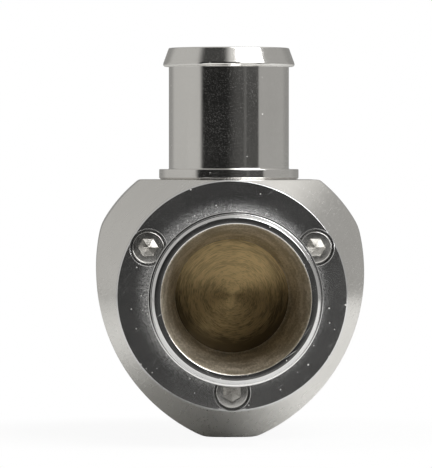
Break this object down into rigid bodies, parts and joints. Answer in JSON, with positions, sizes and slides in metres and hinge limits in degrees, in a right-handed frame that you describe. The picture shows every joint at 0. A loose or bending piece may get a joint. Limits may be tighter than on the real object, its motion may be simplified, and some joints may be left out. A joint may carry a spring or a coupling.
{
  "type": "turbo bypass valve",
  "caption": "Piston valve that vents or recirculates charge air: a beaded inlet nipple on a bolted flange, a side outlet nipple, a sprung piston and a vacuum hose fitting.",
  "frame": {"origin": "on the piston bore's axis, in the inlet flange's front face at the root of the inlet nipple", "axes": "+Y along the bore from the inlet's mouth towards the rear cap, +Z along the outlet nipple, +X to the right when looking into the inlet"},
  "size_m": [0.0562, 0.1084, 0.0819],
  "materials": {
    "body_aluminium": "satin machined, light clear anodised",
    "flange_aluminium": "fine turned and polished",
    "nipple_aluminium": "turned and polished",
    "cap_aluminium": "fine turned and polished",
    "screw_steel": "plain stainless",
    "piston_brass": "turned, dulled by use",
    "fitting_brass": "turned",
    "washer_aluminium": "soft, plain",
    "spring_steel": "drawn wire, lightly oiled",
    "washer_steel": "ground",
    "band_plastic": "filled slide-bearing plastic",
    "seal_rubber": "moulded, lightly greased"
  },
  "bodies": {
    "housing": {"valve_body": "body_aluminium", "inlet_flange": "flange_aluminium", "inlet_flange_oring": "seal_rubber", "inlet_flange_screws": "screw_steel", "outlet_nipple": "nipple_aluminium", "outlet_nipple_oring": "seal_rubber", "return_spring": "spring_steel", "spring_preload_shims": "washer_steel", "bump_stop_ring": "seal_rubber", "rear_cap": "cap_aluminium", "rear_cap_oring": "seal_rubber", "rear_cap_screws": "screw_steel", "vacuum_nipple": "fitting_brass", "vacuum_nipple_washer": "washer_aluminium"},
    "piston_assembly": {"piston": "piston_brass", "piston_nose_oring": "seal_rubber", "piston_guide_band_front": "band_plastic", "piston_oring": "seal_rubber", "piston_guide_band_rear": "band_plastic", "spring_thrust_washer": "washer_steel"}
  },
  "joints": [
    {"name": "piston_travel", "type": "slide", "parent": "housing", "child": "piston_assembly", "axis": [0, 1, 0], "range_m": [0, 0.012], "stiffness_N_per_m": 2200, "springref_m": -0.0068, "deforming": ["return_spring"]}
  ]
}
